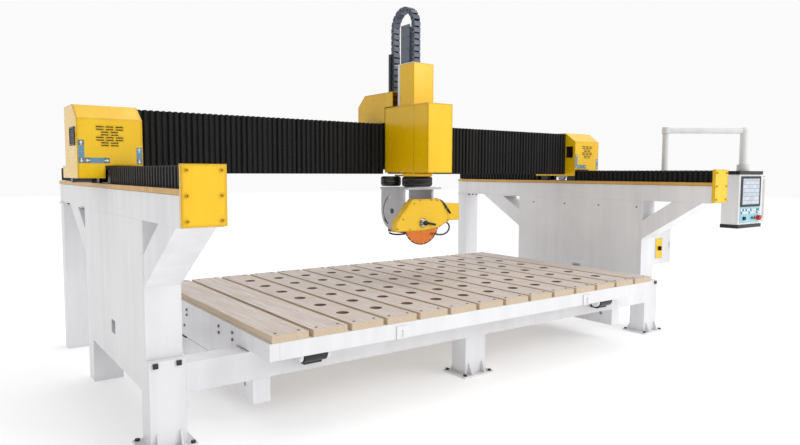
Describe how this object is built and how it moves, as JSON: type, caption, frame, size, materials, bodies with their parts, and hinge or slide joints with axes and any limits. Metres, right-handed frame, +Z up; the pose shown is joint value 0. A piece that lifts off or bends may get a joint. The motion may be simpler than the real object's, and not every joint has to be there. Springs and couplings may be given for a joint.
{
  "type": "cnc bridge saw",
  "caption": "Gantry stone saw: bridge on two side frames, tilting and turning blade head on a vertical ram, hinged slatted table and operator pendant on an arm.",
  "frame": {"origin": "on the floor, at the middle of the sole of the front middle foot", "axes": "+X to the right seen from the operator side, +Y towards the back of the machine, +Z up"},
  "size_m": [5.875, 3.2279, 2.78],
  "materials": {
    "frame_paint": "satin",
    "yellow_paint": "satin",
    "tray_paint": "satin",
    "wood_slat": "matte",
    "bellows_cloth": "matte",
    "ground_steel": "satin",
    "black_paint": "satin",
    "zinc_bolt": "satin",
    "rubber_pad": "matte",
    "chain_plastic": "matte",
    "blade_steel": "satin",
    "arbor_steel": "polished",
    "case_paint": "satin",
    "trim_plastic": "matte",
    "screen_glass": "gloss",
    "key_film": "satin",
    "green_button": "gloss",
    "red_button": "gloss",
    "cast_yoke": "satin",
    "hose_rubber": "matte"
  },
  "bodies": {
    "base": {"frame_beams": "frame_paint", "frame_walls": "frame_paint", "frame_braces": "frame_paint", "frame_legs": "frame_paint", "front_base_beam": "frame_paint", "base_rails": "frame_paint", "leg_feet": "frame_paint", "frame_bolts": "black_paint", "beam_caps": "yellow_paint", "rail_trays": "tray_paint", "way_rails": "ground_steel", "way_racks": "ground_steel", "front_rail_bellows": "bellows_cloth", "rear_rail_bellows": "bellows_cloth", "base_brackets": "black_paint", "rest_pads": "rubber_pad", "pendant_post": "case_paint", "control_cabinet": "case_paint"},
    "table": {"table_girders": "frame_paint", "table_cross_frame": "frame_paint", "table_slats": "wood_slat", "slat_screws": "zinc_bolt", "table_brackets": "frame_paint"},
    "lift_barrels": {"cylinder_barrels": "black_paint"},
    "lift_rods": {"cylinder_rods": "arbor_steel"},
    "bridge": {"bridge_beam": "frame_paint", "carriage_covers": "yellow_paint", "carriage_bases": "black_paint", "cross_rails": "ground_steel", "cross_rack": "ground_steel", "left_bridge_bellows": "bellows_cloth", "right_bridge_bellows": "bellows_cloth"},
    "way_gears": {"way_pinions": "ground_steel"},
    "head": {"head_saddle": "black_paint", "head_covers": "yellow_paint", "energy_chain": "chain_plastic"},
    "cross_gear": {"cross_pinion": "ground_steel"},
    "screw": {"lift_screw": "ground_steel"},
    "ram": {"ram_column": "yellow_paint", "ram_back_plate": "frame_paint", "turn_drive": "black_paint"},
    "turn_head": {"tilt_yoke": "cast_yoke", "tilt_drive": "yellow_paint"},
    "tilt_head": {"spindle_motor": "black_paint", "blade_guard": "yellow_paint", "coolant_pipes": "hose_rubber"},
    "blade": {"saw_blade": "blade_steel", "blade_arbor": "arbor_steel"},
    "arm": {"pendant_arm": "case_paint"},
    "pendant": {"pendant_case": "case_paint", "pendant_trim": "trim_plastic", "pendant_screen": "screen_glass", "pendant_keypad": "key_film"},
    "start_key": {"start_button": "green_button"},
    "stop_key": {"stop_button": "red_button"},
    "stop_mushroom": {"emergency_stop": "red_button"},
    "knob": {"feed_knob": "trim_plastic"},
    "door": {"cabinet_door": "case_paint"},
    "isolator": {"cabinet_isolator": "trim_plastic"}
  },
  "joints": [
    {"name": "bridge_y", "type": "slide", "parent": "base", "child": "bridge", "axis": [0, 1, 0], "range_m": [-1.29, 1.17], "deforming": ["front_rail_bellows", "rear_rail_bellows"]},
    {"name": "way_pinion_spin", "type": "hinge", "parent": "bridge", "child": "way_gears", "pos_m": [2.198, 1, 1.446], "axis": [1, 0, 0], "range_deg": [-1360, 1500]},
    {"name": "carriage_x", "type": "slide", "parent": "bridge", "child": "head", "axis": [1, 0, 0], "range_m": [-1.48, 1.58], "deforming": ["left_bridge_bellows", "right_bridge_bellows"]},
    {"name": "cross_pinion_spin", "type": "hinge", "parent": "head", "child": "cross_gear", "pos_m": [-0.052, 1.088, 1.811], "axis": [0, 0, 1], "range_deg": [-3040, 2850]},
    {"name": "ram_z", "type": "slide", "parent": "head", "child": "ram", "axis": [0, 0, 1], "range_m": [-0.3, 0], "deforming": ["energy_chain"]},
    {"name": "lift_screw_spin", "type": "hinge", "parent": "head", "child": "screw", "pos_m": [-0.052, 0.788, 1.8], "axis": [0, 0, 1], "range_deg": [-10, 5420]},
    {"name": "turn_c", "type": "hinge", "parent": "ram", "child": "turn_head", "pos_m": [-0.052, 0.57, 1.35], "axis": [0, 0, 1], "range_deg": [-180, 180]},
    {"name": "tilt_a", "type": "hinge", "parent": "turn_head", "child": "tilt_head", "pos_m": [-0.052, 0.703, 1.166], "axis": [1, 0, 0], "range_deg": [0, 90]},
    {"name": "blade_spin", "type": "hinge", "parent": "tilt_head", "child": "blade", "pos_m": [-0.052, 0.511, 1.078], "axis": [0, 1, 0], "continuous": true},
    {"name": "table_tilt", "type": "hinge", "parent": "base", "child": "table", "pos_m": [0, -0.145, 0.4], "axis": [-1, 0, 0], "range_deg": [-18, 0]},
    {"name": "lift_barrel_swing", "type": "hinge", "parent": "base", "child": "lift_barrels", "pos_m": [0, 0.59, 0.212], "axis": [1, 0, 0], "range_deg": [-12, 1]},
    {"name": "lift_rod_slide", "type": "slide", "parent": "lift_barrels", "child": "lift_rods", "axis": [0, -0.9487, 0.3162], "range_m": [-0.001, 0.043]},
    {"name": "arm_swing", "type": "hinge", "parent": "base", "child": "arm", "pos_m": [2.5, 0.018, 1.876], "axis": [0, 0, 1], "range_deg": [-35, 75]},
    {"name": "pendant_swivel", "type": "hinge", "parent": "arm", "child": "pendant", "pos_m": [3.10395, -0.4216, 1.5], "axis": [0, 0, 1], "range_deg": [-90, 90]},
    {"name": "start_press", "type": "slide", "parent": "pendant", "child": "start_key", "axis": [0, 1, 0], "range_m": [0, 0.005], "stiffness_N_per_m": 900},
    {"name": "stop_press", "type": "slide", "parent": "pendant", "child": "stop_key", "axis": [0, 1, 0], "range_m": [0, 0.005], "stiffness_N_per_m": 900},
    {"name": "emergency_press", "type": "slide", "parent": "pendant", "child": "stop_mushroom", "axis": [0, 1, 0], "range_m": [0, 0.005], "stiffness_N_per_m": 900},
    {"name": "feed_turn", "type": "hinge", "parent": "pendant", "child": "knob", "pos_m": [2.97995, -0.5155, 1.054], "axis": [0, 1, 0], "range_deg": [-135, 135]},
    {"name": "door_swing", "type": "hinge", "parent": "base", "child": "door", "pos_m": [2.3005, 0.04, 0.775], "axis": [0, 0, -1], "range_deg": [0, 85]},
    {"name": "isolator_turn", "type": "hinge", "parent": "door", "child": "isolator", "pos_m": [2.471, 0.0157, 0.755], "axis": [0, 1, 0], "range_deg": [0, 90]}
  ],
  "couplings": [
    {"joint": "way_pinion_spin", "follows": "bridge_y", "rad_per_m": -20},
    {"joint": "cross_pinion_spin", "follows": "carriage_x", "rad_per_m": -33.333},
    {"joint": "lift_screw_spin", "follows": "ram_z", "rad_per_m": -314.16},
    {"joint": "lift_barrel_swing", "follows": "table_tilt", "ratio": 0.61912},
    {"joint": "lift_rod_slide", "follows": "table_tilt", "m_per_rad": -0.13126}
  ]
}
